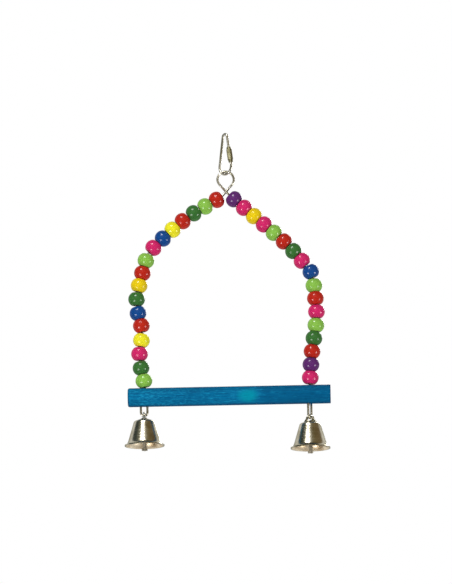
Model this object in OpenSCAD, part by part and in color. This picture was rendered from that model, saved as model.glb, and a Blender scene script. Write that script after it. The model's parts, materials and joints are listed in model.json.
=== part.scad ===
// Bird swing: a bent wire arch strung with wooden beads over a dowel perch, with a bell under each end.
// A pear-shaped screw link hangs it from a cage bar. Millimetres.
// X runs along the perch, +Z is up, and -Y is the front.
// The origin is the inside of the link's top bend, where the cage bar lies.
// The wire is a bend table: its slope below level at shares of the wire from the crossing to the perch.
// Each bead is threaded at its own length of wire, counted from the perch up.

/* [Hanging link] */
// Diameter of the link's rod
link_rod_d = 1.6; // [1.3:0.1:1.8]
// Height of the link over its rod
link_h = 28; // [26:0.2:32]
// Radius of the link's narrow top bend at the middle of the rod
link_top_r = 1.9; // [1.6:0.1:2.4]
// Radius of the link's wide bottom bend at the middle of the rod
link_bottom_r = 5.2; // [4.9:0.1:6]
// Turn of the link's plane from the perch's line
link_yaw = -45; // [-60:5:-35]

/* [Screw sleeve] */
// Length of the sleeve
sleeve_l = 9.8; // [8:0.2:10.4]
// Width over the sleeve's flats
sleeve_flats = 3.1; // [2.8:0.1:3.5]
// Length of the round collar at each end of the sleeve
collar_l = 1.2; // [0.8:0.1:1.6]
// Clearance round the rod inside the sleeve
sleeve_clearance = 0.15; // [0.1:0.05:0.25]
// Bare rod between the bottom bend and the closed sleeve
sleeve_seat = 1.4; // [0.6:0.1:2]
// Gap in the rod that the sleeve closes
link_gap = 3; // [2.2:0.1:3.2]
// Length of rod that the closed sleeve covers below the gap
gap_lap = 3.2; // [2.6:0.1:3.4]

/* [Arch wire] */
// Diameter of the arch wire
wire_d = 1.5; // [1.2:0.1:1.6]
// Radius of the top eye at the middle of the wire
eye_r = 5.2; // [4.8:0.1:6]
// Slope below level of the strands where they cross under the eye
cross_slope = 49; // [42:1:56]
// Gap between the two strands where they cross
cross_gap = 0.3; // [0.2:0.05:0.6]
// Gap between the eye and the link that carries it
eye_gap = 0.25; // [0.15:0.05:0.4]
// Bare wire between the crossing and the top bead of the front strand
neck_bare = 2.8; // [2.6:0.1:4]
// Wire that the bends take up between one bead and the next, on average
bend_slack = 0.24; // [0.24:0.01:0.36]

/* [Beads] */
// Number of beads on each arm
beads_per_arm = 17; // [14:1:17]
// Diameter of a bead
bead_d = 10.7; // [10:0.1:10.9]
// Length of a bead along its bore
bead_l = 8.1; // [7.8:0.1:8.6]
// Diameter of a bead's bore
bead_bore_d = 2.6; // [2.5:0.1:2.8]
// Radius of the flat round the bore at each end
bead_face_r = 3.2; // [2.9:0.1:3.4]
// Countersink at each end of the bore
bead_sink = 0.25; // [0.1:0.05:0.3]
// Gap between neighbouring beads on straight wire
bead_gap = 0.25; // [0.2:0.05:0.4]
// Gap between the lowest bead and the top of the perch
bead_rest = 0.7; // [0.6:0.05:1]

/* [Perch] */
// Diameter of the dowel
perch_d = 12; // [10:0.5:14]
// Length of dowel beyond the left wire
left_overhang = 11; // [9:0.1:16]
// Length of dowel beyond the right wire
right_overhang = 13.1; // [9:0.1:18]
// Rounding of the dowel's left end
left_round = 1.3; // [0.4:0.1:1.6]
// Rounding of the dowel's right end
right_round = 0.4; // [0.3:0.1:1.6]
// Clearance round the wire in its bores
bore_clearance = 0.3; // [0.2:0.05:0.5]

/* [Lower eyes] */
// Slope of the wire as it goes into the perch
entry_slope = 96; // [93:1:98]
// Radius of the bend that turns the wire plumb under the perch
plumb_r = 6; // [4:0.5:8]
// Radius of a lower eye at the middle of the wire
hook_r = 2.05; // [1.9:0.05:2.4]
// Drop of the left eye's bottom below the perch
left_drop = 5.8; // [5:0.1:8]
// Drop of the right eye's bottom below the perch
right_drop = 9.1; // [7:0.1:11]
// Turn of the right eye away from the perch's line
right_turn = 60; // [30:5:75]
// Length of each wire tip that is pushed back up into the wood
tip_seat = 1.8; // [1.2:0.1:2.5]

/* [Bells] */
// Radius of a bell's mouth
mouth_r = 12.6; // [11.5:0.1:14]
// Radius where the flare meets the flank
waist_r = 10.1; // [9:0.1:10.8]
// Height of that waist above the mouth
waist_h = 4; // [3:0.1:5]
// Radius of the shoulder
shoulder_r = 6.8; // [6.2:0.1:7.4]
// Height of the shoulder above the mouth
shoulder_h = 15.1; // [14.4:0.1:15.6]
// Height of the crown above the mouth
crown_h = 17.3; // [16.9:0.1:18.5]
// Height of the rim band
rim_h = 0.7; // [0.4:0.1:1]
// Wall of the bell
bell_wall = 0.8; // [0.6:0.1:1]
// Thickness of the crown
crown_t = 1.2; // [1:0.1:1.4]
// Radius where the ring's neck stands on the crown
neck_r = 2.7; // [2.5:0.1:3]
// Radius of the cast ring at the middle of its section
ring_r = 2.25; // [2.1:0.05:2.4]
// Thickness of the cast ring
ring_t = 1.5; // [1.3:0.1:1.6]
// Height of the ring's middle above the crown
ring_rise = 1.6; // [1.5:0.1:2.7]
// Gap between the ring and the lower eye that carries it
ring_gap = 0.3; // [0.2:0.05:0.4]

/* [Clappers] */
// Diameter of the staple's wire
staple_d = 0.9; // [0.8:0.1:1]
// Radius of the staple's bend at the middle of the wire
staple_r = 1.45; // [1.4:0.05:1.6]
// Straight length of each staple leg
staple_leg = 0.9; // [0.8:0.1:1.4]
// Radius of the clapper's eye at the middle of its wire
clapper_eye_r = 1.25; // [1.2:0.05:1.35]
// Thickness of the clapper's eye
clapper_eye_t = 0.8; // [0.7:0.1:0.9]
// Gap between the clapper's eye and the staple
clapper_gap = 0.2; // [0.15:0.05:0.3]
// Width across the clapper's cross-shaped rod
rod_w = 2.4; // [2:0.1:2.8]
// Thickness of the rod's ribs
rod_t = 0.9; // [0.7:0.1:1.1]
// Length of clapper that shows below the mouth
clapper_show = 3; // [2:0.1:4]
// Diameter of each of the four lobes at the clapper's foot
lobe_d = 1.3; // [1:0.1:1.5]
// Height of the lobes
lobe_h = 1.5; // [1:0.1:2]

/* [Hidden] */
$fn = 48;
overrun = 1;
// Turns smaller than this are drawn straight
least_turn = 0.01;
collar_share = 0.94;
ear_share = 0.8;
hole_share = 0.85;
hex_sides = 6;
// Allowance for beads that lie unevenly across a bend
crowding_share = 1.08;
curve_steps = 6;
// Stretches of wire stop this short of each other, inside a knuckle slightly fatter than the wire
joint_relief = 0.05;
knuckle_share = 1.04;
// Turn of a knuckle about the wire, which keeps its seam off the stretches' seams
knuckle_turn = 20;

// Slope of the right arm's wire at shares of its length
right_bend_shares = [
    [0, cross_slope], [0.03, 44.5], [0.08, 41.5], [0.3, 41.5], [0.42, 52.5], [0.49, 45.5],
    [0.525, 84.5], [0.64, 84.5], [0.78, 102], [0.93, 93], [1, entry_slope]
];
// Slope of the left arm's wire, which has a softer start and a wave above the perch
left_bend_shares = [
    [0, cross_slope], [0.02, 46.5], [0.05, 28.5], [0.12, 28.5], [0.24, 40], [0.4, 45.5],
    [0.44, 74.5], [0.58, 74.5], [0.66, 99], [0.72, 109], [0.8, 73.5], [0.92, 105], [1, entry_slope]
];

// Colours of the beads from the crossing down
DYES = [
    ["red", "#b72619"], ["lime", "#87bd4c"], ["green", "#386e32"], ["lemon", "#ece428"],
    ["gold", "#e6c811"], ["blue", "#124689"], ["pink", "#ce2666"], ["purple", "#5d2a6c"]
];
LEFT_BEADS = [
    "red", "lime", "green", "red", "lemon", "blue", "pink", "lime", "red",
    "gold", "green", "blue", "red", "lemon", "pink", "green", "lime"
];
RIGHT_BEADS = [
    "purple", "pink", "gold", "pink", "lime", "red", "green", "pink", "blue",
    "lime", "red", "pink", "lime", "green", "red", "purple", "pink"
];

// Distance covered by a stretch of wire whose slope runs evenly from one value to another
function stretch(l, from, to) = abs(to - from) < least_turn ? l * [cos(from), -sin(from)]
    : l / (to - from) * 180 / PI * [sin(to) - sin(from), cos(to) - cos(from)];

// Stretches of an arm's wire, as length, first slope and last slope, up to a share of its length
function stretches(table, l, share) = [
    for (i = [0 : len(table) - 2])
        if (i == 0 || table[i][0] < share)
            let (end = min(share, table[i + 1][0]))
            [(end - table[i][0]) * l, table[i][1], lookup(end, table)]
];

// Place reached after the first stretches of a wire
function reached(steps, count) = count == 0 ? [0, 0]
    : reached(steps, count - 1) + stretch(steps[count - 1][0], steps[count - 1][1], steps[count - 1][2]);

// Place on an arm, outwards and upwards from the crossing, at a share of its length
function place(table, l, share) = let (steps = stretches(table, l, share)) reached(steps, len(steps));

// Slope of a bead, which is that of the straight line between the ends of its bore
function lie(table, l, at) = let (
    along = place(table, l, (at + bead_l / 2) / l) - place(table, l, (at - bead_l / 2) / l)
) -atan2(along[1], along[0]);

// Lengths of wire from the crossing to the middle of each bead, from the perch up
function threading(table, l, count, at) = count == 0 ? [] : let (
    next = at - bead_l - bead_gap,
    turn = abs(lie(table, l, at) - lie(table, l, next)),
    crowding = crowding_share * 2 * bead_face_r * sin(turn / 2)
) concat([at], threading(table, l, count - 1, next - crowding));

// Points of a curve that leaves its start towards a corner and meets its end from there
function curve(start, corner, end) = [
    for (i = [0 : curve_steps]) let (t = i / curve_steps)
        (1 - t) * (1 - t) * start + 2 * t * (1 - t) * corner + t * t * end
];

// The link, from its top bend down
link_top_z = link_rod_d / 2 - link_top_r;
link_low_z = link_rod_d * 3 / 2 - link_h + link_bottom_r;
link_centres = link_top_z - link_low_z;
strand_lean = asin((link_bottom_r - link_top_r) / link_centres);
strand_l = link_centres * cos(strand_lean);
sleeve_travel = gap_lap + link_gap;

// The eye and the crossing
eye_top_z = link_low_z - link_bottom_r + (link_rod_d + wire_d) / 2 + eye_gap;
cross_below = eye_r + eye_r / cos(cross_slope);
cross_y = (wire_d + cross_gap) / 2;
loop_pitch = asin(cross_y / cross_below);
cross_z = eye_top_z - cross_below * cos(loop_pitch);

// The arms: the right one is as long as its beads need, and the left one ends level with it
right_l = beads_per_arm * (bead_l + bead_gap + bend_slack) + bead_rest + neck_bare;
right_foot = place(right_bend_shares, right_l, 1);
left_l = right_l * place(right_bend_shares, 1, 1)[1] / place(left_bend_shares, 1, 1)[1];
left_foot = place(left_bend_shares, left_l, 1);
right_threading = threading(right_bend_shares, right_l, beads_per_arm, right_l - bead_rest - bead_l / 2);
left_threading = threading(left_bend_shares, left_l, beads_per_arm, left_l - bead_rest - bead_l / 2);

// The perch and the stems that go down through it
perch_top_z = cross_z + right_foot[1];
perch_low_z = perch_top_z - perch_d;
perch_z = perch_top_z - perch_d / 2;
bore_d = wire_d + 2 * bore_clearance;
span = right_foot[0] + left_foot[0];
perch_yaw = atan2(-2 * cross_y, span);
hole_span = norm([span, 2 * cross_y]);
perch_l = hole_span + left_overhang + right_overhang;
in_wood_l = perch_d / sin(entry_slope);
plumb_l = plumb_r * (entry_slope - 90) * PI / 180;
in_wood = stretch(in_wood_l, entry_slope, entry_slope);
plumb = stretch(plumb_l, entry_slope, 90);
stem_in = in_wood[0] + plumb[0];

// The lower eyes, on stems that hang plumb
right_stem_x = right_foot[0] + stem_in;
left_stem_x = left_foot[0] + stem_in;
right_hook_y = hook_r * sin(right_turn) - cross_y;
right_hook = [right_stem_x + hook_r * cos(right_turn), right_hook_y, perch_low_z - right_drop];
left_hook = [-left_stem_x - hook_r, cross_y, perch_low_z - left_drop];

// The bells, measured down from the middle of the eye's wire
ring_h = crown_h + ring_rise;
ring_z = ring_t / 2 + wire_d / 2 + ring_gap - ring_r;
mouth_z = ring_z - ring_h;
ear_t = ring_t * ear_share;
seat_h = crown_h - crown_t;
staple_h = seat_h - staple_leg - staple_r;
clapper_eye_z = (clapper_eye_t + staple_d) / 2 + clapper_gap - clapper_eye_r;
clapper_l = staple_h + clapper_show;

function two_digits(i) = i < 10 ? str("0", i) : str(i);
function bead_name(side, i) = str("bead_", side, "_", two_digits(i));
function dye(name) = DYES[search([name], DYES)[0]][1];

// One even stretch of wire from the origin, without the relief at its two ends
module wire_stretch(l, from, to, d) {
    turn = to - from;
    if (abs(turn) < least_turn) {
        rotate([0, 0, -from])
            translate([joint_relief, 0])
                rotate([0, 90, 0])
                    cylinder(d = d, h = l - 2 * joint_relief);
    } else {
        r = abs(l / turn) * 180 / PI;
        facing = turn > 0 ? 90 : 270;
        relief = joint_relief / r * 180 / PI;
        translate(-r * [cos(facing - from), sin(facing - from)])
            rotate([0, 0, facing - max(from, to) + relief])
                rotate_extrude(angle = abs(turn) - 2 * relief)
                    translate([r, 0])
                        circle(d = d);
    }
}

// Ball over the meeting of two stretches, with its axis along the wire
module knuckle(d, slope) {
    rotate([0, 0, -slope])
        rotate([0, 90, 0])
            rotate([0, 0, knuckle_turn])
                sphere(d = d * knuckle_share);
}

// A wire of several stretches, with a knuckle between each and the next
module wire(steps, d) {
    for (i = [0 : len(steps) - 1])
        translate(reached(steps, i)) {
            wire_stretch(steps[i][0], steps[i][1], steps[i][2], d);
            if (i > 0)
                knuckle(d, steps[i][1]);
        }
}

// Upright planes: drawn in X and Y, stood up in X and Z
module upright() {
    rotate([90, 0, 0])
        children();
}

// The right arm's plane in front of the crossing, or the left arm's behind it
module arm_plane(side) {
    translate([0, -side * cross_y, cross_z])
        mirror([side < 0 ? 1 : 0, 0, 0])
            children();
}

module link_frame() {
    rotate([0, 0, link_yaw])
        upright()
            children();
}

// Frame of the strand that carries the sleeve, with its own X up along the rod
module sleeve_strand() {
    translate([0, link_low_z])
        rotate([0, 0, strand_lean])
            translate([link_bottom_r, 0])
                rotate([0, 0, 90])
                    children();
}

// Pear-shaped link, one rod from the gap's lower end down, round and over to its upper end
module quick_link() {
    gap_start = sleeve_seat + gap_lap;
    down = 90 - strand_lean;
    up = 270 + strand_lean;
    steps = [
        [gap_start, down, down], [link_bottom_r * (up - down) * PI / 180, down, up], [strand_l, up, up],
        [link_top_r * (180 - 2 * strand_lean) * PI / 180, up, down + 360],
        [strand_l - gap_start - link_gap, down, down]
    ];
    color("silver")
        link_frame()
            sleeve_strand()
                translate([gap_start, 0])
                    rotate([0, 0, -90 - strand_lean])
                        wire(steps, link_rod_d);
}

// Hexagonal screw sleeve with a turned collar at each end
module link_sleeve() {
    corner_r = sleeve_flats / 2 / cos(180 / hex_sides);
    collar_r = sleeve_flats / 2 * collar_share;
    bore = link_rod_d + 2 * sleeve_clearance;
    hex_l = sleeve_l - 2 * collar_l;
    chamfer = corner_r - collar_r;
    color("darkkhaki")
        link_frame()
            sleeve_strand()
                translate([sleeve_seat, 0])
                    rotate([0, 90, 0])
                        difference() {
                            union() {
                                cylinder(r = collar_r, h = sleeve_l);
                                translate([0, 0, collar_l])
                                    intersection() {
                                        cylinder(r = corner_r, h = hex_l, $fn = hex_sides);
                                        rotate_extrude()
                                            polygon([
                                                [0, 0], [collar_r, 0], [corner_r, chamfer],
                                                [corner_r, hex_l - chamfer], [collar_r, hex_l], [0, hex_l]
                                            ]);
                                    }
                            }
                            translate([0, 0, -overrun])
                                cylinder(d = bore, h = sleeve_l + 2 * overrun);
                        }
}

// Half of the top eye and its strand down to the crossing, for the arm on the given side
module half_loop(side) {
    steps = [
        [eye_r * (180 - cross_slope) * PI / 180, 180, cross_slope],
        [eye_r * tan(cross_slope), cross_slope, cross_slope]
    ];
    rotate([-side * loop_pitch, 0, 0])
        mirror([side < 0 ? 1 : 0, 0, 0])
            upright()
                wire(steps, wire_d);
}

// The wire of one arm, from the crossing down through the perch
module arm_wire(side, table, l) {
    below = [[in_wood_l, entry_slope, entry_slope], [plumb_l, entry_slope, 90]];
    steps = concat(stretches(table, l, 1), below);
    arm_plane(side)
        upright() {
            knuckle(wire_d, cross_slope);
            wire(steps, wire_d);
        }
}

// Depth of the dowel's underside above its lowest line, at a distance from its middle
function underside_rise(y) = perch_d / 2 - sqrt(perch_d * perch_d / 4 - y * y);

// A lower eye, from the plumb stem down, round and back up into the wood
module lower_eye(stem, drop, turn, side) {
    tip_rise = underside_rise(abs(-side * cross_y + 2 * hook_r * sin(turn))) + tip_seat;
    steps = [
        [drop - hook_r + plumb[1], 90, 90], [PI * hook_r, 90, -90], [drop - hook_r + tip_rise, -90, -90]
    ];
    translate(stem)
        mirror([side < 0 ? 1 : 0, 0, 0])
            rotate([0, 0, turn])
                upright()
                    translate([0, plumb[1]]) {
                        knuckle(wire_d, 90);
                        wire(steps, wire_d);
                    }
}

// The arch: one wire from the left bell's eye, up, round the top eye and down to the right bell's
module frame_wire() {
    color("gainsboro") {
        translate([0, 0, eye_top_z]) {
            knuckle(wire_d, 0);
            half_loop(1);
            half_loop(-1);
        }
        arm_wire(1, right_bend_shares, right_l);
        arm_wire(-1, left_bend_shares, left_l);
        lower_eye([right_stem_x, -cross_y, perch_low_z], right_drop, right_turn, 1);
        lower_eye([-left_stem_x, cross_y, perch_low_z], left_drop, 0, -1);
    }
}

// Bore for one stem and socket for its tip
module perch_bores(side, foot, stem_x, turn) {
    tip = 2 * hook_r * [cos(turn), sin(turn)];
    tip_rise = underside_rise(abs(-side * cross_y + tip[1])) + tip_seat;
    translate([side * foot[0], -side * cross_y, perch_top_z])
        rotate([0, side * (entry_slope - 90), 0])
            mirror([0, 0, 1])
                translate([0, 0, -overrun])
                    cylinder(d = bore_d, h = in_wood_l + 2 * overrun);
    translate([side * (stem_x + tip[0]), -side * cross_y + tip[1], perch_low_z - overrun])
        cylinder(d = bore_d, h = overrun + tip_rise + bore_clearance);
}

// Dowel with rounded ends, bored for the two stems
module perch() {
    r = perch_d / 2;
    left_end = -left_overhang - hole_span / 2;
    right_end = right_overhang + hole_span / 2;
    outline = concat(
        [[0, left_end]],
        curve([r - left_round, left_end], [r, left_end], [r, left_end + left_round]),
        curve([r, right_end - right_round], [r, right_end], [r - right_round, right_end]),
        [[0, right_end]]
    );
    color("#0a6594")
        difference() {
            translate([(right_foot[0] - left_foot[0]) / 2, 0, perch_z])
                rotate([0, 0, perch_yaw])
                    rotate([0, 90, 0])
                        rotate_extrude()
                            polygon(outline);
            perch_bores(1, right_foot, right_stem_x, right_turn);
            perch_bores(-1, left_foot, left_stem_x, 0);
        }
}

// Ball-shaped bead with a flat at each end of its bore, which lies along Z
module bead() {
    bore_r = bead_bore_d / 2;
    half_l = bead_l / 2;
    crown = bead_d / 2 - bead_face_r;
    round_r = (crown * crown + half_l * half_l) / (2 * crown);
    rotate_extrude()
        difference() {
            intersection() {
                union() {
                    translate([bead_d / 2 - round_r, 0])
                        circle(r = round_r);
                    translate([0, -half_l])
                        square([bead_face_r, bead_l]);
                }
                translate([bore_r, -half_l])
                    square([bead_d, bead_l]);
            }
            for (end = [-1, 1])
                polygon([
                    [bore_r, end * half_l], [bore_r + bead_sink, end * half_l],
                    [bore_r, end * (half_l - bead_sink)]
                ]);
        }
}

// A bead on its arm, balanced across the bend of the wire inside it
module strung_bead(side, table, l, at, name) {
    start = place(table, l, (at - bead_l / 2) / l);
    end = place(table, l, (at + bead_l / 2) / l);
    middle = place(table, l, at / l);
    along = end - start;
    color(dye(name))
        arm_plane(side)
            upright()
                translate((start + end) / 4 + middle / 2)
                    rotate([0, 0, atan2(along[1], along[0])])
                        rotate([0, 90, 0])
                            bead();
}

// Shell of a bell over its open mouth, with the cast ring on its crown
module bell_body() {
    half_wall = bell_wall / 2;
    crown_r = shoulder_r - 2 * bell_wall;
    hole_r = ring_r - ring_t / 2 * hole_share;
    neck_h = ring_h - seat_h - half_wall;
    outside = concat(
        [[mouth_r, 0], [mouth_r, rim_h]],
        curve([mouth_r - half_wall, rim_h], [waist_r + bell_wall, rim_h + half_wall], [waist_r, waist_h]),
        curve([shoulder_r, shoulder_h], [shoulder_r - half_wall, seat_h], [crown_r, seat_h + half_wall / 2]),
        [[neck_r, crown_h], [0, crown_h]]
    );
    inside = concat(
        [[0, seat_h], [staple_r + staple_d, seat_h]],
        [[crown_r, shoulder_h + half_wall], [shoulder_r - bell_wall, shoulder_h - bell_wall]],
        curve([waist_r - bell_wall, waist_h], [waist_r, rim_h], [mouth_r - bell_wall, 0])
    );
    rotate_extrude()
        polygon(concat(outside, inside));
    translate([0, 0, ring_h])
        upright() {
            rotate_extrude()
                translate([ring_r, 0])
                    circle(d = ring_t);
            translate([0, 0, -ear_t / 2])
                linear_extrude(ear_t)
                    difference() {
                        polygon([
                            [-ring_r - ring_t / 2, 0], [ring_r + ring_t / 2, 0],
                            [crown_r - ear_t / 4, seat_h - ring_h], [ear_t / 4 - crown_r, seat_h - ring_h]
                        ]);
                        circle(r = ring_r);
                    }
            difference() {
                rotate([-90, 0, 0])
                    translate([0, 0, -neck_h])
                        cylinder(r1 = neck_r + half_wall, r2 = ear_t, h = neck_h);
                translate([0, 0, -neck_r - overrun])
                    cylinder(r = hole_r, h = 2 * (neck_r + overrun));
            }
        }
}

// Half-round staple under the crown, which carries the clapper
module staple_body() {
    steps = [[staple_leg, 90, 90], [PI * staple_r, 90, -90], [staple_leg, -90, -90]];
    translate([-staple_r, 0, seat_h])
        upright()
            wire(steps, staple_d);
}

// Cross-ribbed clapper under its eye, with four lobes at the foot
module clapper_body() {
    translate([0, 0, staple_h]) {
        translate([0, 0, clapper_eye_z])
            rotate([0, 90, 0])
                rotate_extrude()
                    translate([clapper_eye_r, 0])
                        circle(d = clapper_eye_t);
        translate([0, 0, -clapper_l])
            linear_extrude(clapper_l + clapper_eye_z - clapper_eye_r)
                for (size = [[rod_w, rod_t], [rod_t, rod_w]])
                    square(size, center = true);
        translate([0, 0, -clapper_l])
            for (turn = [0 : 90 : 270])
                rotate([0, 0, turn])
                    translate([rod_w / 2, 0, 0])
                        cylinder(d = lobe_d, h = lobe_h);
    }
}

// A bell's own frame: its ring hangs in a lower eye whose wire runs along the frame's X
module hung(hook, turn) {
    translate(hook)
        rotate([0, 0, turn])
            translate([0, 0, mouth_z])
                children();
}

module bell(hook, turn) {
    color("#b9b6a6")
        hung(hook, turn)
            rotate([0, 0, 90])
                bell_body();
}

module staple(hook, turn) {
    color("dimgray")
        hung(hook, turn)
            staple_body();
}

module clapper(hook, turn) {
    color("darkgray")
        hung(hook, turn)
            clapper_body();
}

quick_link();
link_sleeve();
frame_wire();
perch();
bell(left_hook, 0);  // bell_left
bell(right_hook, right_turn);  // bell_right
staple(left_hook, 0);  // staple_left
staple(right_hook, right_turn);  // staple_right
clapper(left_hook, 0);  // clapper_left
clapper(right_hook, right_turn);  // clapper_right
for (i = [1 : beads_per_arm])
    strung_bead(-1, left_bend_shares, left_l, left_threading[beads_per_arm - i], LEFT_BEADS[i - 1]);
for (i = [1 : beads_per_arm])
    strung_bead(1, right_bend_shares, right_l, right_threading[beads_per_arm - i], RIGHT_BEADS[i - 1]);
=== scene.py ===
"""Portrait of a bird swing: lacquered beads on a bent wire, a stained dowel and two nickel bells.

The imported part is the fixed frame. Each sub-assembly below dresses its own bodies: it lays a
smooth skin over the part's nodes, adds the small pieces that only the eye needs, and rides them
on the body that carries them. Lengths are in metres, +Z is up and -Y is the front.
"""

import json
import logging
import math
from collections.abc import Sequence
from dataclasses import dataclass
from enum import Enum
from typing import Union

import bmesh
import bpy
from mathutils import Matrix, Vector


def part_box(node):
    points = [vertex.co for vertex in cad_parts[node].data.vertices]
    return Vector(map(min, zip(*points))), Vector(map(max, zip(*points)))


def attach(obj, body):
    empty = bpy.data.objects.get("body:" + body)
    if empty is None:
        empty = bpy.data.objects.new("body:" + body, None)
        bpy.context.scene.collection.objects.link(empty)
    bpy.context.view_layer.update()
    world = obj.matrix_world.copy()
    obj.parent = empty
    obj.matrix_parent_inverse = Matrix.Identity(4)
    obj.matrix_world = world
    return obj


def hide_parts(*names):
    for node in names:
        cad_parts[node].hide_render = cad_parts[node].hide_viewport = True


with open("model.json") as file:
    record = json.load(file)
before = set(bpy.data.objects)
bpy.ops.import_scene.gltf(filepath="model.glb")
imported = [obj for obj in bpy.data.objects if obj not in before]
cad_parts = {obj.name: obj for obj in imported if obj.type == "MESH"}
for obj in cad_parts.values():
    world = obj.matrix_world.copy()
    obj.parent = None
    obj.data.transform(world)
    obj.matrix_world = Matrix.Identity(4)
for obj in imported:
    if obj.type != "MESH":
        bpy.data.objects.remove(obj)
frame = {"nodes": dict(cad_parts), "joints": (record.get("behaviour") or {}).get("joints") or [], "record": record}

LOG = logging.getLogger("bird_swing")
# The width and height of the picture in pixels
PICTURE_SIZE = (452, 584)
MM = 0.001
# Corners closer than this are one
WELD = 0.000002
# The angle in degrees from which an edge of a round piece stays sharp
CREASE = 32.0

# A linear colour with its alpha, three numbers along the axes, and a low and a high number
Colour = tuple[float, float, float, float]
Triple = tuple[float, float, float]
Band = tuple[float, float]
# What a socket takes
Feed = Union[float, Sequence[float], "Value"]

WHITE: Colour = (1.0, 1.0, 1.0, 1.0)
BLACK: Colour = (0.0, 0.0, 0.0, 1.0)


def linear(code: str) -> Colour:
    """Gives the linear colour of an sRGB hex code.

    Args:
        code: Six hex digits after a hash.

    Returns:
        Red, green, blue and full alpha.
    """
    channels = [int(code[i : i + 2], 16) / 255 for i in (1, 3, 5)]
    red, green, blue = (
        c / 12.92 if c <= 0.04045 else ((c + 0.055) / 1.055) ** 2.4 for c in channels
    )
    return (red, green, blue, 1.0)


def shaded(colour: Colour, factor: float) -> Colour:
    """Gives a colour with its three channels multiplied, each kept at 1 or below.

    Args:
        colour: The colour to start from.
        factor: What each channel is multiplied by.

    Returns:
        The darker or lighter colour.
    """
    red, green, blue = (min(1.0, c * factor) for c in colour[:3])
    return (red, green, blue, colour[3])


class Value:
    """A number or colour on a shader socket, which joins in Python arithmetic."""

    def __init__(self, bench: "Bench", socket: bpy.types.NodeSocket) -> None:
        """Holds the bench that the socket's node stands on, and the socket."""
        self.bench = bench
        self.socket = socket

    def __add__(self, other: Feed) -> "Value":
        """Adds."""
        return self.bench.maths("ADD", self, other)

    __radd__ = __add__

    def __sub__(self, other: Feed) -> "Value":
        """Subtracts."""
        return self.bench.maths("SUBTRACT", self, other)

    def __rsub__(self, other: Feed) -> "Value":
        """Subtracts this from a number."""
        return self.bench.maths("SUBTRACT", other, self)

    def __mul__(self, other: Feed) -> "Value":
        """Multiplies."""
        return self.bench.maths("MULTIPLY", self, other)

    __rmul__ = __mul__

    def __truediv__(self, other: Feed) -> "Value":
        """Divides."""
        return self.bench.maths("DIVIDE", self, other)

    def __neg__(self) -> "Value":
        """Turns the sign."""
        return self.bench.maths("MULTIPLY", self, -1.0)

    def __abs__(self) -> "Value":
        """Drops the sign."""
        return self.bench.maths("ABSOLUTE", self, 0.0)

    def __pow__(self, other: Feed) -> "Value":
        """Raises to a power."""
        return self.bench.maths("POWER", self, other)


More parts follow.
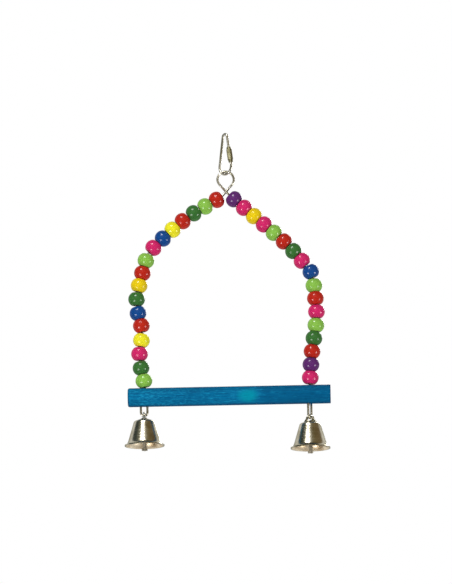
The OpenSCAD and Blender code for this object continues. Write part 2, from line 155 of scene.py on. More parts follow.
class Bench:
    """A node tree under work, and the one method that puts nodes on it."""

    def __init__(self, tree: bpy.types.NodeTree) -> None:
        """Takes the tree and clears it."""
        self.tree = tree
        tree.nodes.clear()

    def node(
        self,
        kind: str,
        settings: dict[str, object] | None = None,
        inputs: dict[str | int, Feed] | None = None,
    ) -> bpy.types.Node:
        """Makes a node, sets it and then feeds its sockets.

        Args:
            kind: The node's type.
            settings: Its own settings by name, "stops" being a ramp's positions and colours.
            inputs: A number, a colour or a link for each socket, by name or place.

        Returns:
            The node.
        """
        made = self.tree.nodes.new(kind)
        for name, setting in (settings or {}).items():
            if name == "stops":
                self.set_stops(made.color_ramp, setting)
            else:
                setattr(made, name, setting)
        for key, feed in (inputs or {}).items():
            if isinstance(feed, Value):
                self.tree.links.new(feed.socket, made.inputs[key])
            else:
                made.inputs[key].default_value = feed
        return made

    @staticmethod
    def set_stops(ramp: bpy.types.ColorRamp, stops: Sequence[tuple[float, Colour]]) -> None:
        """Sets a ramp's stops, of which it starts with two.

        Args:
            ramp: The ramp.
            stops: The position and colour of each stop.
        """
        for _ in stops[2:]:
            ramp.elements.new(1.0)
        for element, (position, colour) in zip(ramp.elements, stops):
            element.position = position
            element.color = colour

    def value(self, node: bpy.types.Node, output: str | int = 0) -> Value:
        """Gives one output of a node, for arithmetic."""
        return Value(self, node.outputs[output])

    def maths(self, operation: str, first: Feed, second: Feed) -> Value:
        """Adds one Math node to what feeds it."""
        made = self.node("ShaderNodeMath", {"operation": operation}, {0: first, 1: second})
        return self.value(made)

    def coordinates(self) -> Value:
        """Gives the piece's object coordinates, in metres in the part's frame."""
        return self.value(self.node("ShaderNodeTexCoord"), "Object")

    def centred(self, place: Sequence[float], turn: Sequence[float] = (0, 0, 0)) -> Value:
        """Gives object coordinates about a place, turned with a piece.

        Args:
            place: The new origin.
            turn: The piece's own turn, as Euler angles.

        Returns:
            The coordinates in the piece's own frame.
        """
        mapping = self.node(
            "ShaderNodeMapping",
            {"vector_type": "TEXTURE"},
            {"Vector": self.coordinates(), "Location": tuple(place), "Rotation": tuple(turn)},
        )
        return self.value(mapping)

    def stretched(self, vector: Value, scale: Sequence[float]) -> Value:
        """Multiplies a vector by one factor for each axis."""
        made = self.node(
            "ShaderNodeVectorMath", {"operation": "MULTIPLY"}, {0: vector, 1: tuple(scale)}
        )
        return self.value(made)

    def length(self, vector: Value) -> Value:
        """Gives a vector's length."""
        made = self.node("ShaderNodeVectorMath", {"operation": "LENGTH"}, {0: vector})
        return self.value(made, "Value")

    def parts(self, vector: Value) -> tuple[Value, Value, Value]:
        """Splits a vector into its three numbers."""
        split = self.node("ShaderNodeSeparateXYZ", None, {0: vector})
        return self.value(split, 0), self.value(split, 1), self.value(split, 2)

    def noise(self, vector: Value, detail: float, rough: float) -> Value:
        """Gives soft noise, with one feature in a unit of the vector.

        Args:
            vector: Where it is read.
            detail: How many finer layers it has.
            rough: How strong the finer layers are.

        Returns:
            The noise, from about 0.2 to 0.8 and near 0.5 on average.
        """
        made = self.node(
            "ShaderNodeTexNoise",
            None,
            {"Vector": vector, "Scale": 1.0, "Detail": detail, "Roughness": rough},
        )
        return self.value(made)

    def ease(self, number: Value, low: float, high: float) -> Value:
        """Eases from 0 at the low number to 1 at the high one."""
        made = self.node(
            "ShaderNodeMapRange",
            {"interpolation_type": "SMOOTHSTEP"},
            {"Value": number, "From Min": low, "From Max": high},
        )
        return self.value(made)

    def blend(self, mask: Feed, first: Feed, second: Feed) -> Value:
        """Blends from one colour to another by a mask.

        Args:
            mask: 0 gives the first colour and 1 the second.
            first: A colour or a link.
            second: A colour or a link.

        Returns:
            The blended colour.
        """
        mixed = self.node(
            "ShaderNodeMix", {"data_type": "RGBA"}, {0: mask, 6: first, 7: second}
        )
        return self.value(mixed, 2)

    def bump(self, height: Value, depth: float, strength: float) -> Value:
        """Turns a height from 0 to 1 into a bump of the given depth in metres."""
        made = self.node(
            "ShaderNodeBump", None, {"Height": height, "Distance": depth, "Strength": strength}
        )
        return self.value(made)

    def background(self, colour: Feed) -> Value:
        """Gives a world surface of one colour, at a strength of 1."""
        return self.value(self.node("ShaderNodeBackground", None, {"Color": colour}))

    def glow(self, colour: Feed, strength: float) -> Value:
        """Gives a surface that shines by itself."""
        made = self.node("ShaderNodeEmission", None, {"Color": colour, "Strength": strength})
        return self.value(made)

    def choose(self, share: Feed, first: Value, second: Value) -> Value:
        """Mixes two surfaces, of which a share of 0 gives the first."""
        made = self.node("ShaderNodeMixShader", None, {0: share, 1: first, 2: second})
        return self.value(made)

    def surface(self, inputs: dict[str, Feed]) -> None:
        """Ends the tree with a principled surface."""
        shader = self.node("ShaderNodeBsdfPrincipled", None, inputs)
        self.output("ShaderNodeOutputMaterial", self.value(shader))

    def output(self, kind: str, surface: Value) -> None:
        """Ends the tree with the given surface."""
        self.node(kind, None, {"Surface": surface})


def material_bench(name: str) -> tuple[bpy.types.Material, Bench]:
    """Starts a material and the bench for its nodes.

    Args:
        name: The material's name.

    Returns:
        The material and its bench.
    """
    material = bpy.data.materials.new(name)
    material.use_nodes = True
    return material, Bench(material.node_tree)


@dataclass(frozen=True)
class Layer:
    """A layer of noise over a surface, and how much it does to the finish.

    It has so many features in a metre along each axis. Where the noise rises through the band,
    the layer comes in, up to its share.
    """

    features: Triple
    band: Band
    share: float = 1.0
    detail: float = 2.0
    rough: float = 0.5

    def noise(self, bench: Bench, place: Value) -> Value:
        """Gives the layer's noise at a place."""
        return bench.noise(bench.stretched(place, self.features), self.detail, self.rough)

    def mask(self, bench: Bench, noise: Value) -> Value:
        """Gives how far the layer comes in for its noise."""
        return bench.ease(noise, *self.band) * self.share


class Dye(Enum):
    """The colours that the beads are dyed."""

    RED = "#b72619"
    LIME = "#87bd4c"
    GREEN = "#386e32"
    LEMON = "#ece428"
    GOLD = "#e6c811"
    BLUE = "#124689"
    PINK = "#ce2666"
    PURPLE = "#5d2a6c"


@dataclass(frozen=True)
class BeadLacquer:
    """Dyed wood under gloss lacquer, with grain along the bead's own bore.

    The grain runs between two factors of the dye, the clouds go to a third, and the dye pools
    darker in the countersinks. The skin's share is added to the roughness. The thin coat of a
    high index keeps the lamps' highlights and leaves the rims without a pale veil.
    """

    dye: Dye
    bore_r: float = 1.3 * MM
    pooled_r: float = 2.3 * MM
    pooled: float = 0.45
    grain: Layer = Layer((1100.0, 1100.0, 190.0), (0.3, 0.72), detail=3.0, rough=0.6)
    grain_factors: Band = (0.95, 1.03)
    cloud: Layer = Layer((260.0, 260.0, 260.0), (0.35, 0.75), share=0.4, detail=1.0)
    cloud_factor: float = 1.07
    skin: Layer = Layer((620.0, 620.0, 620.0), (0.3, 0.8), share=0.12, detail=1.0)
    grain_in_relief: float = 0.35
    relief: float = 0.005 * MM
    relief_strength: float = 0.5
    body_roughness: float = 0.4
    body_specular: float = 0.0
    coat_weight: float = 0.18
    coat_roughness: float = 0.18
    coat_ior: float = 2.3

    def material(self, name: str, centre: Vector, turn: Sequence[float]) -> bpy.types.Material:
        """Makes the lacquer of one bead.

        Args:
            name: The material's name.
            centre: The bead's middle.
            turn: The turn that lays +Z along its bore.

        Returns:
            The material.
        """
        material, bench = material_bench(name)
        own = bench.centred(centre, turn)
        across, deep, _ = bench.parts(own)
        off_axis = (across * across + deep * deep) ** 0.5
        grain = self.grain.noise(bench, own)
        cloud = self.cloud.noise(bench, own)
        skin_noise = self.skin.noise(bench, own)
        colour = linear(self.dye.value)
        dark, light = (shaded(colour, factor) for factor in self.grain_factors)
        body = bench.blend(self.grain.mask(bench, grain), dark, light)
        clouded = shaded(colour, self.cloud_factor)
        body = bench.blend(self.cloud.mask(bench, cloud), body, clouded)
        open_wood = bench.ease(off_axis, self.bore_r, self.pooled_r)
        body = bench.blend(open_wood, shaded(colour, self.pooled), body)
        height = grain * self.grain_in_relief + skin_noise * (1.0 - self.grain_in_relief)
        bench.surface(
            {
                "Base Color": body,
                "Roughness": self.body_roughness + self.skin.mask(bench, skin_noise),
                "Normal": bench.bump(height, self.relief, self.relief_strength),
                "Specular IOR Level": self.body_specular,
                "Coat Weight": self.coat_weight,
                "Coat Roughness": self.coat_roughness,
                "Coat IOR": self.coat_ior,
            }
        )
        return material


@dataclass(frozen=True)
class StainedWood:
    """Dowel wood under a thin blue water stain that leaves its grain open.

    The stain sparkles most at the left end and is deeper at the right one. A green patch lies
    right of the middle. The two ends are worn dark, and the top and bottom of the round carry a
    painted shade, a dark band where the round turns away from the light.
    """

    ends: Band
    middle_and_r: Band
    deep: Colour = linear("#00507c")
    mid: Colour = linear("#00709f")
    light: Colour = linear("#1b98c4")
    green: Colour = linear("#0092a8")
    grain: Layer = Layer((55.0, 1300.0, 1300.0), (0.3, 0.7), detail=4.0, rough=0.62)
    flecks: Layer = Layer((210.0, 1500.0, 1500.0), (0.5, 0.7), share=0.8, detail=3.0, rough=0.7)
    pores: Layer = Layer((160.0, 3600.0, 3600.0), (0.62, 0.74), share=0.55, detail=1.0)
    sparkle: Layer = Layer((480.0, 1900.0, 1900.0), (0.47, 0.74), rough=0.55)
    cloud: Layer = Layer((38.0, 120.0, 120.0), (0.35, 0.7), share=0.4)
    pore_shade: float = 0.5
    sparkle_fades: Band = (-50.0 * MM, 5.0 * MM)
    sparkle_loss: float = 0.75
    deepens: Band = (16.0 * MM, 26.0 * MM)
    deepened: float = 0.5
    patch_place: Triple = (12.0 * MM, -5.6 * MM, -171.0 * MM)
    patch_half: Triple = (8.0 * MM, 6.0 * MM, 5.5 * MM)
    patch_edge: Band = (0.25, 1.05)
    patch_ragged: Band = (1.1, 0.7)
    patch_share: float = 0.8
    # Where the painted shade along the top and bottom of the round comes in, read on the height
    painted_shade_rim: Band = (0.8, 0.98)
    worn_end: Band = (0.1 * MM, 1.1 * MM)
    rim_ragged: float = 0.3
    end_ragged: float = 1.2 * MM
    # How far the worn ends and the painted shade go, and how dark they make the stain
    worn_and_shaded_share: float = 0.75
    worn_and_shaded_factor: float = 0.55
    heights: Triple = (0.55, 0.25, -0.35)
    relief: float = 0.22 * MM
    relief_strength: float = 0.7
    roughness: float = 0.56
    roughness_spread: float = 0.18
    roughness_band: Band = (0.3, 0.7)
    specular: float = 0.04

    def material(self, name: str) -> bpy.types.Material:
        """Makes the stained wood, with its grain along X.

        Args:
            name: The material's name.

        Returns:
            The material.
        """
        material, bench = material_bench(name)
        place = bench.coordinates()
        along, _, height = bench.parts(place)
        grain = self.grain.noise(bench, place)
        flecks = self.flecks.noise(bench, place)
        pores = self.pores.noise(bench, place)
        cloud = self.cloud.noise(bench, place)
        stain = bench.blend(self.grain.mask(bench, grain), self.deep, self.mid)
        stain = bench.blend(self.flecks.mask(bench, flecks), stain, self.light)
        stain = bench.blend(self.sparkling(bench, place, along), stain, self.light)
        stain = bench.blend(self.cloud.mask(bench, cloud), stain, self.deep)
        deepening = bench.ease(along, *self.deepens) * self.deepened
        stain = bench.blend(deepening, stain, self.deep)
        stain = bench.blend(self.patch(bench, cloud, flecks), stain, self.green)
        in_pores = shaded(self.deep, self.pore_shade)
        stain = bench.blend(self.pores.mask(bench, pores), stain, in_pores)
        # Painted shade: the top and bottom of the round are darkened together with the worn ends
        worn_and_shaded = self.wear_and_painted_shade(bench, along, height, grain) * self.worn_and_shaded_share
        stain = bench.blend(worn_and_shaded, stain, shaded(self.deep, self.worn_and_shaded_factor))
        relief = grain * self.heights[0] + flecks * self.heights[1] + pores * self.heights[2]
        spread = bench.ease(flecks, *self.roughness_band) * self.roughness_spread
        bench.surface(
            {
                "Base Color": stain,
                "Roughness": self.roughness + spread,
                "Normal": bench.bump(relief, self.relief, self.relief_strength),
                "Specular IOR Level": self.specular,
            }
        )
        return material

    def sparkling(self, bench: Bench, place: Value, along: Value) -> Value:
        """Masks the fine sparkle, which fades from the left end to the middle.

        Args:
            bench: The material's bench.
            place: The object coordinates.
            along: The place along the dowel.

        Returns:
            The mask.
        """
        left = 1.0 - bench.ease(along, *self.sparkle_fades) * self.sparkle_loss
        return self.sparkle.mask(bench, self.sparkle.noise(bench, place)) * left

    def patch(self, bench: Bench, cloud: Value, flecks: Value) -> Value:
        """Masks the green patch, an oval whose edge the clouds and flecks make ragged.

        Args:
            bench: The material's bench.
            cloud: The clouds' noise.
            flecks: The flecks' noise.

        Returns:
            The mask.
        """
        narrowing = [1 / half for half in self.patch_half]
        own = bench.stretched(bench.centred(self.patch_place), narrowing)
        by_cloud, by_flecks = self.patch_ragged
        edge = bench.length(own) + (cloud - 0.5) * by_cloud + (flecks - 0.5) * by_flecks
        return (1.0 - bench.ease(edge, *self.patch_edge)) * self.patch_share

    def wear_and_painted_shade(self, bench: Bench, along: Value, height: Value, grain: Value) -> Value:
        """Masks the painted shade along the top and bottom of the round and the worn ends.

        Args:
            bench: The material's bench.
            along: The place along the dowel.
            height: The height in the part's frame.
            grain: The grain, which makes the edges of the wear and of the painted shade ragged.

        Returns:
            The mask, 1 at the worn ends and in the painted shade along the top and bottom.
        """
        middle, radius = self.middle_and_r
        # Painted shade: darker towards the top and bottom of the round
        rim = abs(height - middle) / radius + (grain - 0.5) * self.rim_ragged
        nearest = bench.maths("MINIMUM", along - self.ends[0], self.ends[1] - along)
        to_end = nearest + (grain - 0.5) * self.end_ragged
        at_end = 1.0 - bench.ease(to_end, *self.worn_end)
        return bench.maths("MAXIMUM", bench.ease(rim, *self.painted_shade_rim), at_end)


@dataclass(frozen=True)
class Metal:
    """A metal whose tone, gloss and skin vary a little.

    Its tone goes to the shadow tone in clouds. The grain gives the marks of its making, as
    features in a metre along each axis, which spread its roughness and give its relief. The edge
    tint darkens what it mirrors near its outline.
    """

    tone: str
    shadow_tone: str
    roughness: float
    roughness_spread: float
    grain: Triple
    relief: float
    metallic: float = 1.0
    edge_tint: Colour = (0.5, 0.5, 0.46, 1.0)
    cloud: Layer = Layer((180.0, 180.0, 180.0), (0.35, 0.72))
    drawn_band: Band = (0.3, 0.75)
    drawn_detail: float = 3.0
    drawn_rough: float = 0.6
    relief_strength: float = 0.6

    def material(self, name: str) -> bpy.types.Material:
        """Makes the metal.

        Args:
            name: The material's name.

        Returns:
            The material.
        """
        material, bench = material_bench(name)
        place = bench.coordinates()
        marks = Layer(
            self.grain, self.drawn_band, self.roughness_spread, self.drawn_detail, self.drawn_rough
        )
        drawn = marks.noise(bench, place)
        clouded = self.cloud.mask(bench, self.cloud.noise(bench, place))
        bench.surface(
            {
                "Base Color": bench.blend(clouded, linear(self.tone), linear(self.shadow_tone)),
                "Metallic": self.metallic,
                "Specular Tint": self.edge_tint,
                "Roughness": self.roughness + marks.mask(bench, drawn),
                "Normal": bench.bump(drawn, self.relief, self.relief_strength),
            }
        )
        return material


LINK_STEEL = Metal("#e2dfd4", "#c2beae", 0.24, 0.14, (900.0, 900.0, 260.0), 0.02 * MM)
SLEEVE_PLATING = Metal("#9d9878", "#7d785a", 0.34, 0.2, (700.0, 700.0, 260.0), 0.03 * MM)
ARCH_STEEL = Metal("#d0ccbf", "#afab98", 0.26, 0.16, (500.0, 1200.0, 500.0), 0.02 * MM)
BELL_NICKEL = Metal("#cac5b4", "#b0a993", 0.2, 0.08, (50.0, 50.0, 1900.0), 0.0015 * MM)
BELL_LINING = Metal("#f2e4c9", "#d2b993", 0.34, 0.16, (260.0, 260.0, 900.0), 0.006 * MM, 0.62)
STAPLE_STEEL = Metal("#99958a", "#77736a", 0.3, 0.2, (900.0, 900.0, 900.0), 0.02 * MM)
CAST_ZINC = Metal("#c6c0b0", "#9f9988", 0.4, 0.2, (1100.0, 1100.0, 1100.0), 0.03 * MM, 0.7)


def record_slot(node: str) -> str:
    """Gives the record's material slot of a node."""
    rows = {row["node"]: row["material_slot"] for row in frame["record"]["subparts"]}
    return rows[node]


def body_of(node: str) -> str:
    """Gives the body that carries a node."""
    bodies = frame["record"]["behaviour"]["bodies"]
    return next(name for name, nodes in bodies.items() if node in nodes)


def joint_of(body: str) -> dict[str, object]:
    """Gives the joint that moves a body."""
    return next(joint for joint in frame["joints"] if joint["child"] == body)


@dataclass
class Piece:
    """A new piece of the swing, from its bmesh to its place in the scene.

    An edge sharper than the crease, in degrees, stays sharp. A skin stands for the nodes that it
    replaces.
    """

    name: str
    body: str
    slot: str
    material: bpy.types.Material
    crease: float = CREASE
    replaced: Sequence[str] = ()

    def place(self, form: bmesh.types.BMesh) -> bpy.types.Object:
        """Turns the finished bmesh into a piece that rides on its body.

        Args:
            form: The piece's form, which is used up.

        Returns:
            The piece.
        """
        bmesh.ops.remove_doubles(form, verts=form.verts, dist=WELD)
        bmesh.ops.recalc_face_normals(form, faces=form.faces)
        limit = math.radians(self.crease)
        for face in form.faces:
            face.smooth = True
        for edge in form.edges:
            edge.smooth = len(edge.link_faces) == 2 and edge.calc_face_angle(math.pi) < limit
        mesh = bpy.data.meshes.new(self.name)
        form.to_mesh(mesh)
        form.free()
        mesh.materials.append(self.material)
        piece = bpy.data.objects.new(self.name, mesh)
        bpy.context.scene.collection.objects.link(piece)
        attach(piece, self.body)
        if self.replaced:
            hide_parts(*self.replaced)
        LOG.info("%s: %d faces, on %s", self.name, len(mesh.polygons), self.body)
        return piece


def skin(node: str, material: bpy.types.Material, crease: float = CREASE) -> bpy.types.Object:
    """Lays a smooth, welded copy of a node's surface in its place.

    Args:
        node: The part's node.
        material: The finish.
        crease: The angle in degrees from which an edge stays sharp.

    Returns:
        The skin, which stands for the node.
    """
    form = bmesh.new()
    form.from_mesh(frame["nodes"][node].data)
    piece = Piece(node + "_skin", body_of(node), record_slot(node), material, crease, (node,))
    return piece.place(form)


@dataclass
class HangingLink:
    """The pear-shaped link and its screw sleeve, with the thread that shows beside the sleeve."""

    sleeve_crease: float = 20.0
    thread_crease: float = 20.0
    thread_pitch: float = 0.4 * MM
    thread_depth: float = 0.08 * MM
    thread_root: float = 0.03 * MM
    ridge_share: float = 0.3
    rod_r: float = 0.8 * MM
    sleeve_l: float = 9.8 * MM
    turns_above: int = 6
    turns_below: int = 3
    steps_a_turn: int = 20

    def build(self) -> None:
        """Dresses the link and sleeve and cuts the thread that shows beyond the sleeve."""
        steel = LINK_STEEL.material("link_steel")
        skin("quick_link", steel)
        skin("link_sleeve", SLEEVE_PLATING.material("sleeve_plating"), self.sleeve_crease)
        low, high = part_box("link_sleeve")
        axis = Vector(joint_of("sleeve")["axis"]).normalized()
        middle = (low + high) / 2
        above = middle + axis * (self.sleeve_l / 2 - self.thread_pitch)
        below = middle - axis * (self.sleeve_l / 2 - self.thread_pitch)
        self.thread("link_thread_upper", above, axis, self.turns_above, steel)
        self.thread("link_thread_lower", below, -axis, self.turns_below, steel)

    def thread(
        self, name: str, start: Vector, axis: Vector, turns: int, steel: bpy.types.Material
    ) -> None:
        """Winds one fine ridge round the rod, rooted a little below the rod's surface.

        Args:
            name: The piece's name.
            start: Where the ridge starts, on the rod's axis.
            axis: The way it runs.
            turns: How many turns it has.
            steel: The finish.
        """
        steps = self.steps_a_turn * turns
        out = axis.orthogonal().normalized()
        half = self.ridge_share * self.thread_pitch
        root = self.rod_r - self.thread_root
        corners = (
            start + out * root - axis * half,
            start + out * (self.rod_r + self.thread_depth),
            start + out * root + axis * half,
        )
        form = bmesh.new()
        form.faces.new([form.verts.new(corner) for corner in corners])
        bmesh.ops.spin(
            form,
            geom=form.faces[:] + form.edges[:] + form.verts[:],
            cent=start,
            axis=axis,
            dvec=axis * (self.thread_pitch * turns / steps),
            angle=math.tau * turns,
            steps=steps,
        )
        Piece(name, "link", "link_steel", steel, self.thread_crease).place(form)


@dataclass
class BeadString:
    """The beads of one arm, from the crossing down, on the part's own profile."""

    side: str
    dyes: Sequence[Dye]
    bead_r: float = 5.35 * MM
    half_l: float = 4.05 * MM
    face_r: float = 3.2 * MM
    bore_r: float = 1.3 * MM
    sink: float = 0.25 * MM
    soft_edge: float = 0.22 * MM
    edge_steps: int = 3
    arc_steps: int = 18
    round_steps: int = 48
    crease: float = 50.0

    def build(self) -> None:
        """Turns each bead and dresses it in its own lacquer."""
        for number, dye in enumerate(self.dyes, 1):
            name = f"bead_{self.side}_{number:02d}"
            low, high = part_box(name)
            centre = (low + high) / 2
            aim = Vector(joint_of(name)["axis"]).to_track_quat("Z", "Y")
            lacquer = BeadLacquer(dye).material("lacquer_" + name, centre, aim.to_euler())
            form = self.ball()
            place = Matrix.Translation(centre) @ aim.to_matrix().to_4x4()
            bmesh.ops.transform(form, matrix=place, verts=form.verts)
            body, slot = body_of(name), record_slot(name)
            Piece(name + "_skin", body, slot, lacquer, self.crease, (name,)).place(form)

    def ball(self) -> bmesh.types.BMesh:
        """Turns one bead about its bore, with soft rims round its two flats.

        Returns:
            The bead about the origin, with its bore along Z.
        """
        crown = self.bead_r - self.face_r
        round_r = (crown**2 + self.half_l**2) / (2 * crown)
        reach = math.asin(self.half_l / round_r)
        turns = [reach * (2 * step / self.arc_steps - 1) for step in range(self.arc_steps + 1)]
        outline = [
            (self.bead_r - round_r * (1 - math.cos(turn)), round_r * math.sin(turn))
            for turn in turns
        ]
        flat = self.bore_r + self.sink
        outline += [(flat, self.half_l), (self.bore_r, self.half_l - self.sink)]
        outline += [(self.bore_r, self.sink - self.half_l), (flat, -self.half_l)]
        form = bmesh.new()
        corners = [form.verts.new((r, 0.0, z)) for r, z in outline]
        for first, second in zip(corners, corners[1:] + corners[:1]):
            form.edges.new((first, second))
        bmesh.ops.spin(
            form,
            geom=form.verts[:] + form.edges[:],
            cent=(0.0, 0.0, 0.0),
            axis=(0.0, 0.0, 1.0),
            dvec=(0.0, 0.0, 0.0),
            angle=math.tau,
            steps=self.round_steps,
            use_merge=True,
        )
        rims = [edge for edge in form.edges if all(self.on_rim(end.co) for end in edge.verts)]
        bmesh.ops.bevel(
            form,
            geom=rims,
            offset=self.soft_edge,
            segments=self.edge_steps,
            profile=0.5,
            affect="EDGES",
            material=-1,
        )
        return form

    def on_rim(self, place: Vector) -> bool:
        """Tells whether a corner lies on the rim of a flat."""
        level = abs(abs(place.z) - self.half_l) < WELD
        return level and abs(place.xy.length - self.face_r) < WELD


@dataclass
class Arch:
    """The bent wire with its top eye and its two lower eyes."""

    crease: float = CREASE

    def build(self) -> None:
        """Dresses the wire."""
        skin("frame_wire", ARCH_STEEL.material("arch_steel"), self.crease)


@dataclass
class Perch:
    """The stained dowel, with fibres torn loose where the drill came out.

    Each fibre stands at its own turn about the hole and has its own share of the full length.
    """

    crease: float = 35.0
    fibre_l: float = 1.9 * MM
    fibre_r: float = 0.3 * MM
    fibre_tip_r: float = 0.06 * MM
    fibre_sides: int = 7
    fibre_crease: float = 40.0
    fibre_lean: float = 14.0
    torn_r: float = 1.5 * MM
    sunk: float = 0.5 * MM
    fibre_turns: Sequence[float] = (-160.0, -128.0, -96.0, -70.0, -38.0, -12.0)
    fibre_shares: Sequence[float] = (0.8, 0.6, 1.0, 0.7, 0.9, 0.55)

    def build(self) -> None:
        """Dresses the dowel and adds the torn fibres."""
        low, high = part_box("perch")
        wood = StainedWood((low.x, high.x), ((low.z + high.z) / 2, (high.z - low.z) / 2))
        stain = wood.material("stained_wood")
        skin("perch", stain, self.crease)
        hole = Vector(joint_of("bell_right")["pos_m"])
        hole.z = low.z
        self.torn_fibres(hole, stain)

    def torn_fibres(self, hole: Vector, stain: bpy.types.Material) -> None:
        """Stands short pointed fibres round the front of a hole, under the dowel.

        Args:
            hole: The middle of the hole's lower rim.
            stain: The finish.
        """
        form = bmesh.new()
        up = Vector((0.0, 0.0, 1.0))
        for turn, share in zip(self.fibre_turns, self.fibre_shares):
            angle = math.radians(turn)
            out = Vector((math.cos(angle), math.sin(angle), 0.0))
            length = self.fibre_l * share
            middle = hole + out * self.torn_r + up * (self.sunk - length / 2)
            lean = Matrix.Rotation(math.radians(self.fibre_lean) * share, 4, out.cross(up))
            bmesh.ops.create_cone(
                form,
                cap_ends=True,
                segments=self.fibre_sides,
                radius1=self.fibre_tip_r,
                radius2=self.fibre_r,
                depth=length,
                matrix=Matrix.Translation(middle) @ lean,
            )
        body, slot = body_of("perch"), record_slot("perch")
        Piece("perch_torn_fibres", body, slot, stain, self.fibre_crease).place(form)


@dataclass
class Bell:
    """One bell with its staple and clapper.

    A face is inside where its normal leans to the axis or points down, from just above the mouth
    up to the crown.
    """

    side: str
    crown_h: float = 17.3 * MM
    mouth_edge: float = 0.05 * MM
    leans_in: float = -0.1
    points_down: float = -0.6

    def build(self) -> None:
        """Dresses the bell inside and out, its staple and its clapper."""
        shell = skin("bell_" + self.side, BELL_NICKEL.material("bell_nickel_" + self.side))
        self.line(shell)
        skin("staple_" + self.side, STAPLE_STEEL.material("staple_steel_" + self.side))
        skin("clapper_" + self.side, CAST_ZINC.material("cast_zinc_" + self.side))

    def line(self, shell: bpy.types.Object) -> None:
        """Gives the faces inside the shell the duller lining.

        Args:
            shell: The bell's skin.
        """
        shell.data.materials.append(BELL_LINING.material("bell_lining_" + self.side))
        low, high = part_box("bell_" + self.side)
        axis = (low + high) / 2
        for face in shell.data.polygons:
            out = (face.center - axis).xy
            leaning = face.normal.xy.dot(out) < self.leans_in * out.length
            inner = leaning or face.normal.z < self.points_down
            within = self.mouth_edge < face.center.z - low.z < self.crown_h
            face.material_index = int(inner and within)


@dataclass(frozen=True)
class Softbox:
    """A small round lamp, which the lacquer shows as one bright spot.

    It hangs away from the target along its direction. Its width is in metres, its power in watts.
    """

    name: str
    direction: Triple
    width: float
    power: float
    distance: float = 0.9

    def place(self, target: Vector) -> None:
        """Hangs the lamp and aims it.

        Args:
            target: The place that it points at.
        """
        lamp = bpy.data.lights.new(self.name, "AREA")
        lamp.shape = "DISK"
        lamp.size = self.width
        lamp.energy = self.power
        holder = bpy.data.objects.new(self.name, lamp)
        bpy.context.scene.collection.objects.link(holder)
        away = Vector(self.direction).normalized()
        holder.location = target + away * self.distance
        holder.rotation_euler = away.to_track_quat("Z", "Y").to_euler()
        holder.visible_camera = False


ROOM_STOPS = tuple(
    (place, linear(code))
    for place, code in (
        (0.0, "#3a4442"),
        (0.03, "#3f4844"),
        (0.1, "#6f715a"),
        (0.3, "#7d7a60"),
        (0.56, "#82775a"),
        (0.75, "#7f714c"),
        (1.0, "#7a6848"),
    )
)
GROUND_TONE = linear("#4d4636")


@dataclass(frozen=True)
class Room:
    """What lacquer and metal mirror: a dim room in front of the swing, white paper behind it.

    Each band is read on a way of length 1: on its height, its part to the back or its turn to
    the side. The walls' stops run from the far left to the far right.
    """

    stops: Sequence[tuple[float, Colour]] = ROOM_STOPS
    least_level: float = 0.05
    ceiling: Colour = linear("#2b2820")
    ceiling_band: Band = (0.86, 0.97)
    ground: Colour = GROUND_TONE
    ground_band: Band = (0.1, 0.7)
    window: Colour = (0.6, 0.588, 0.558, 1.0)
    window_left: Band = (-0.62, -0.5)
    window_right: Band = (0.08, 0.18)
    window_front: Band = (0.0, 0.15)
    window_foot: Band = (-0.05, 0.5)
    window_head: Band = (0.86, 0.95)
    paper_band: Band = (0.15, 0.4)
    far_band: Band = (0.8, 1.0)
    far_paper: Colour = (0.62, 0.61, 0.58, 1.0)

    def colour(self, bench: Bench, across: Value, back: Value, up: Value) -> Value:
        """Gives the colour that is mirrored from each way.

        Args:
            bench: The world's bench.
            across: The way's part to the right.
            back: The way's part to the back.
            up: The way's part upwards.

        Returns:
            The colour.
        """
        level = (across * across + back * back) ** 0.5
        side = across / bench.maths("MAXIMUM", level, self.least_level)
        walls = bench.node("ShaderNodeValToRGB", {"stops": self.stops}, {0: side * 0.5 + 0.5})
        room = bench.blend(bench.ease(up, *self.ceiling_band), bench.value(walls), self.ceiling)
        room = bench.blend(bench.ease(-up, *self.ground_band), room, self.ground)
        room = bench.blend(self.in_window(bench, side, back, up), room, self.window)
        paper = bench.blend(bench.ease(back, *self.far_band), WHITE, self.far_paper)
        return bench.blend(bench.ease(back, *self.paper_band), room, paper)

    def in_window(self, bench: Bench, side: Value, back: Value, up: Value) -> Value:
        """Masks the room's dim window, high in the front and to the left.

        Args:
            bench: The world's bench.
            side: The turn to the right.
            back: The way's part to the back.
            up: The way's part upwards.

        Returns:
            The mask.
        """
        pane = bench.ease(side, *self.window_left) * (1.0 - bench.ease(side, *self.window_right))
        pane = pane * bench.ease(-back, *self.window_front) * bench.ease(up, *self.window_foot)
        return pane * (1.0 - bench.ease(up, *self.window_head))


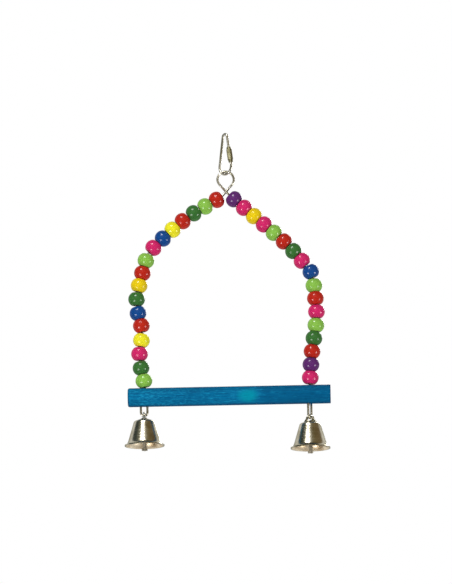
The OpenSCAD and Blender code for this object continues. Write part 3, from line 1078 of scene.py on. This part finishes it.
@dataclass
class PaperFloor:
    """The pale floor well below the swing, which fades into the white far away.

    The camera sees its own colour lifted by a glow. Lacquer and metal see it dark in front of
    the swing and as bright paper behind it, as they see the room.
    """

    height: float = -0.75
    half: float = 6.0
    fade: Band = (0.9, 5.0)
    behind: Band = (-0.1, 0.7)
    tooth: Layer = Layer((9.0, 9.0, 9.0), (0.3, 0.7))
    papers: tuple[Colour, Colour] = ((0.86, 0.86, 0.85, 1.0), (0.9, 0.9, 0.89, 1.0))
    roughness: float = 0.9
    lift: Colour = (0.48, 0.48, 0.475, 1.0)

    def build(self) -> None:
        """Lays the floor."""
        form = bmesh.new()
        bmesh.ops.create_grid(form, x_segments=2, y_segments=2, size=self.half)
        bmesh.ops.translate(form, verts=form.verts, vec=(0.0, 0.0, self.height))
        mesh = bpy.data.meshes.new("studio_floor")
        form.to_mesh(mesh)
        form.free()
        mesh.materials.append(self.material())
        floor = bpy.data.objects.new("studio_floor", mesh)
        bpy.context.scene.collection.objects.link(floor)

    def material(self) -> bpy.types.Material:
        """Makes the paper.

        Returns:
            The material.
        """
        material, bench = material_bench("floor_paper")
        place = bench.coordinates()
        across, back, _ = bench.parts(place)
        far = bench.ease((across * across + back * back) ** 0.5, *self.fade)
        behind = bench.ease(back, *self.behind)
        path = bench.node("ShaderNodeLightPath")
        glossy = bench.value(path, "Is Glossy Ray")
        toothed = self.tooth.mask(bench, self.tooth.noise(bench, place))
        paper = bench.blend(toothed, *self.papers)
        paper = bench.blend(glossy * (1.0 - behind), paper, GROUND_TONE)
        paper = bench.blend(far, paper, BLACK)
        base = bench.node(
            "ShaderNodeBsdfPrincipled", None, {"Base Color": paper, "Roughness": self.roughness}
        )
        lit = bench.maths("MAXIMUM", bench.value(path, "Is Camera Ray"), glossy * behind)
        glow = bench.glow(bench.blend(far, self.lift, WHITE), 1.0)
        lift = bench.choose(lit, bench.glow(BLACK, 0.0), glow)
        both = bench.node("ShaderNodeAddShader", None, {0: bench.value(base), 1: lift})
        bench.output("ShaderNodeOutputMaterial", bench.value(both))
        return material


@dataclass
class Studio:
    """White surroundings, the mirrored room, four lamps, the pale floor and the camera.

    The soft light is one level in front of the swing and another behind it. The camera stands a
    little below the swing's middle and is rolled as the picture is. A pixel is the width of the
    swing that one pixel of the picture shows.
    """

    target: Triple = (-0.95 * MM, 0.0, -102.2 * MM)
    distance: float = 3.0
    elevation: float = -11.0
    roll: float = -0.95
    pixel: float = 0.6365 * MM
    sensor: float = 36.0
    reach: float = 30.0
    front_level: float = 0.29
    back_level: float = 0.12
    level_band: Band = (-0.7, 0.7)
    room: Room = Room()
    lamps: Sequence[Softbox] = (
        Softbox("lamp_top", (-0.26, -0.62, 0.74), 0.32, 4.8),
        Softbox("lamp_left", (-0.56, -0.65, -0.52), 0.32, 3.5),
        Softbox("lamp_right", (0.85, -0.39, -0.34), 0.32, 3.0),
        Softbox("lamp_back", (0.25, 0.9, 0.3), 0.3, 5.6),
    )

    def build(self) -> None:
        """Sets up everything that isn't the swing."""
        bpy.context.scene.view_settings.view_transform = "Standard"
        self.surroundings()
        PaperFloor().build()
        self.camera()
        for lamp in self.lamps:
            lamp.place(Vector(self.target))

    def surroundings(self) -> None:
        """Makes the world: white to the camera, the room to gloss and a soft level to the rest."""
        world = bpy.data.worlds.new("studio")
        bpy.context.scene.world = world
        world.use_nodes = True
        bench = Bench(world.node_tree)
        way = bench.value(bench.node("ShaderNodeTexCoord"), "Generated")
        across, back, up = bench.parts(way)
        levels = [(level, level, level, 1.0) for level in (self.front_level, self.back_level)]
        soft = bench.background(bench.blend(bench.ease(back, *self.level_band), *levels))
        mirror = bench.background(self.room.colour(bench, across, back, up))
        path = bench.node("ShaderNodeLightPath")
        glossy = bench.value(path, "Is Glossy Ray")
        mirrored = bench.maths("MAXIMUM", glossy, bench.value(path, "Is Transmission Ray"))
        lit = bench.choose(mirrored, soft, mirror)
        seen = bench.choose(bench.value(path, "Is Camera Ray"), lit, bench.background(WHITE))
        bench.output("ShaderNodeOutputWorld", seen)

    def camera(self) -> None:
        """Places the long lens in front of the swing and a little below its middle."""
        lens = bpy.data.cameras.new("camera")
        lens.sensor_width = self.sensor
        half_height = max(PICTURE_SIZE) / 2 * self.pixel
        lens.lens = self.sensor / 2 * self.distance / half_height
        lens.clip_end = self.reach
        holder = bpy.data.objects.new("camera", lens)
        bpy.context.scene.collection.objects.link(holder)
        rise = math.radians(self.elevation)
        away = Vector((0.0, -math.cos(rise), math.sin(rise)))
        aim = away.to_track_quat("Z", "Y").to_matrix().to_4x4()
        stand = Matrix.Translation(Vector(self.target) + away * self.distance)
        holder.matrix_world = stand @ aim @ Matrix.Rotation(math.radians(self.roll), 4, "Z")
        bpy.context.scene.camera = holder


LEFT_DYES = (
    Dye.RED, Dye.LIME, Dye.GREEN, Dye.RED, Dye.LEMON, Dye.BLUE, Dye.PINK, Dye.LIME, Dye.RED,
    Dye.GOLD, Dye.GREEN, Dye.BLUE, Dye.RED, Dye.LEMON, Dye.PINK, Dye.GREEN, Dye.LIME,
)
RIGHT_DYES = (
    Dye.PURPLE, Dye.PINK, Dye.GOLD, Dye.PINK, Dye.LIME, Dye.RED, Dye.GREEN, Dye.PINK, Dye.BLUE,
    Dye.LIME, Dye.RED, Dye.PINK, Dye.LIME, Dye.GREEN, Dye.RED, Dye.PURPLE, Dye.PINK,
)


def main() -> None:
    """Builds the studio and dresses the swing, piece by piece."""
    logging.basicConfig(level=logging.INFO, format="%(name)s: %(message)s")
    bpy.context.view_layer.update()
    Studio().build()
    HangingLink().build()
    Arch().build()
    BeadString("left", LEFT_DYES).build()
    BeadString("right", RIGHT_DYES).build()
    Perch().build()
    for side in ("left", "right"):
        Bell(side).build()


if __name__ == "__main__":
    main()
